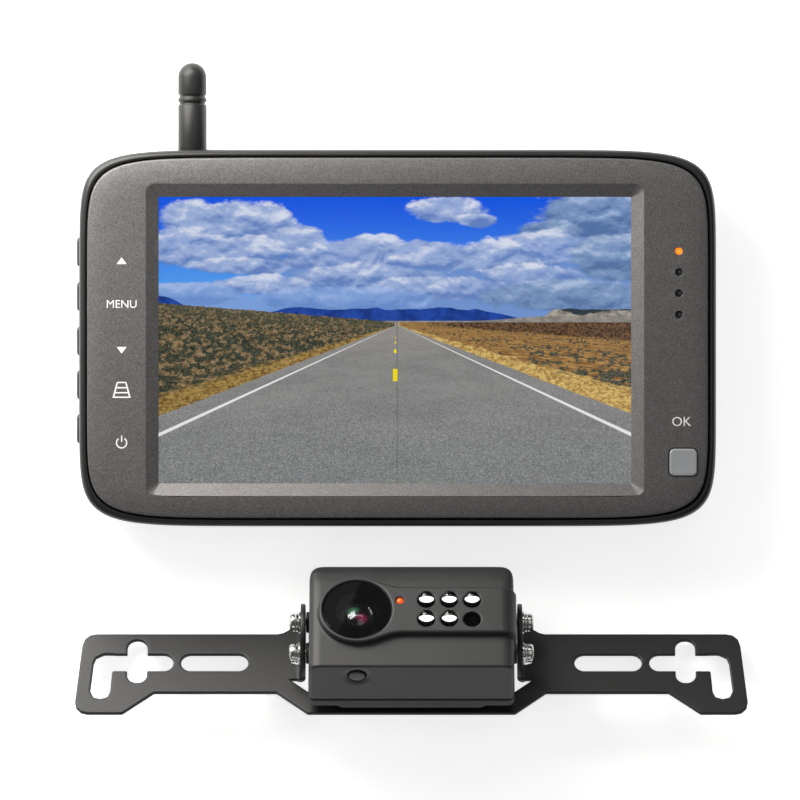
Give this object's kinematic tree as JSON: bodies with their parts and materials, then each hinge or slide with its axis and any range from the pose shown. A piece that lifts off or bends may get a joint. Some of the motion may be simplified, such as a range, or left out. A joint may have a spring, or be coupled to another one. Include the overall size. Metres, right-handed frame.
{
  "type": "backup camera kit",
  "caption": "Wireless reversing camera kit: flat monitor with a picture screen, side keys and folding antenna, and a tilting camera on a slotted number plate bracket.",
  "frame": {"origin": "middle of the flat face on the monitor's back, on the table the kit lies on", "axes": "+X along the monitor's length towards its OK key, +Y up the monitor's screen towards the antenna's tip, +Z out of the screen, up from the table"},
  "size_m": [0.2176, 0.2114, 0.042],
  "materials": {
    "bezel_paint": "taupe paint with fine metallic flake, satin",
    "shell_plastic": "black moulded plastic, satin rim and finely textured back",
    "screen_glass": "clear screen glass",
    "black_rubber": "black rubber",
    "lcd_picture": "liquid crystal panel, lit picture",
    "tin_plate": "tin plated steel",
    "circuit_board": "green circuit board with black chips",
    "switch_plastic": "black plastic",
    "key_plastic": "dark grey satin plastic",
    "silver_key": "silver grey painted plastic",
    "amber_lamp": "amber light pipe, lit",
    "dark_lamp": "smoked clear plastic, unlit",
    "speaker_black": "black speaker frame and cone",
    "black_steel": "blackened steel screw",
    "bright_steel": "stainless steel",
    "brass": "plain brass",
    "antenna_plastic": "black satin elastomer sleeve",
    "powder_coat": "black powder coated steel sheet",
    "housing_plastic": "dark grey plastic with a fine even texture",
    "lens_glass": "clear window over the lens",
    "lens_black": "matt black lens parts",
    "coated_glass": "lens glass with a green and red coating",
    "clear_lamp": "water clear lamp body with a bright reflector inside"
  },
  "bodies": {
    "monitor": {"front_bezel": "bezel_paint", "rear_shell": "shell_plastic", "screen_glass": "screen_glass", "screen_gasket": "black_rubber", "lcd_panel": "lcd_picture", "backlight_tray": "tin_plate", "main_board": "circuit_board", "radio_shield": "tin_plate", "side_key_board": "circuit_board", "side_key_switches": "switch_plastic", "front_key_board": "circuit_board", "ok_switch": "switch_plastic", "indicator_lamp_amber": "amber_lamp", "indicator_lamps_dark": "dark_lamp", "speaker": "speaker_black", "power_jack": "switch_plastic", "case_screws": "black_steel", "board_screws": "bright_steel", "mount_inserts": "brass", "antenna_pin": "bright_steel", "antenna_coax": "black_rubber"},
    "antenna": {"antenna_knuckle": "antenna_plastic", "antenna_sleeve": "antenna_plastic", "antenna_element": "brass"},
    "key_up": {"side_key_up": "key_plastic"},
    "key_menu": {"side_key_menu": "key_plastic"},
    "key_down": {"side_key_down": "key_plastic"},
    "key_guide": {"side_key_guide": "key_plastic"},
    "key_power": {"side_key_power": "key_plastic"},
    "key_ok": {"ok_key": "silver_key"},
    "bracket": {"plate_bracket": "powder_coat"},
    "camera": {"camera_front_housing": "housing_plastic", "camera_rear_cover": "housing_plastic", "housing_seal": "black_rubber", "lens_window": "lens_glass", "lens_hood_ring": "lens_black", "lens_barrel": "lens_black", "lens_front_element": "coated_glass", "lens_rear_element": "coated_glass", "image_sensor_board": "circuit_board", "infrared_board": "circuit_board", "infrared_leds": "clear_lamp", "light_sensor": "dark_lamp", "status_lamp": "amber_lamp", "transmitter_board": "circuit_board", "transmitter_shield": "tin_plate", "pair_switch": "switch_plastic", "cable_gland": "black_rubber", "side_inserts": "brass", "tilt_screws": "bright_steel", "spring_washers": "bright_steel", "flat_washers": "bright_steel", "cover_screws": "bright_steel"},
    "button_pair": {"pair_button": "key_plastic"}
  },
  "joints": [
    {"name": "antenna_fold", "type": "hinge", "parent": "monitor", "child": "antenna", "pos_m": [-0.0666, 0.0502, 0.0086], "axis": [0, 0, 1], "range_deg": [-90, 0]},
    {"name": "key_up_press", "type": "slide", "parent": "monitor", "child": "key_up", "axis": [1, 0, 0], "range_m": [0, 0.0006], "stiffness_N_per_m": 700, "springref_m": -0.0008},
    {"name": "key_menu_press", "type": "slide", "parent": "monitor", "child": "key_menu", "axis": [1, 0, 0], "range_m": [0, 0.0006], "stiffness_N_per_m": 700, "springref_m": -0.0008},
    {"name": "key_down_press", "type": "slide", "parent": "monitor", "child": "key_down", "axis": [1, 0, 0], "range_m": [0, 0.0006], "stiffness_N_per_m": 700, "springref_m": -0.0008},
    {"name": "key_guide_press", "type": "slide", "parent": "monitor", "child": "key_guide", "axis": [1, 0, 0], "range_m": [0, 0.0006], "stiffness_N_per_m": 700, "springref_m": -0.0008},
    {"name": "key_power_press", "type": "slide", "parent": "monitor", "child": "key_power", "axis": [1, 0, 0], "range_m": [0, 0.0006], "stiffness_N_per_m": 700, "springref_m": -0.0008},
    {"name": "key_ok_press", "type": "slide", "parent": "monitor", "child": "key_ok", "axis": [0, 0, -1], "range_m": [0, 0.0005], "stiffness_N_per_m": 700, "springref_m": -0.0008},
    {"name": "camera_unit_lift", "type": "slide", "parent": "monitor", "child": "bracket", "axis": [0, 0, 1], "range_m": [0, 0.3]},
    {"name": "camera_tilt", "type": "hinge", "parent": "bracket", "child": "camera", "pos_m": [0.0045, -0.09205, 0.01315], "axis": [1, 0, 0], "range_deg": [-20, 0]},
    {"name": "button_pair_press", "type": "slide", "parent": "camera", "child": "button_pair", "axis": [0, 0.8141, -0.5807], "range_m": [0, 0.0005], "stiffness_N_per_m": 700, "springref_m": -0.0008}
  ]
}
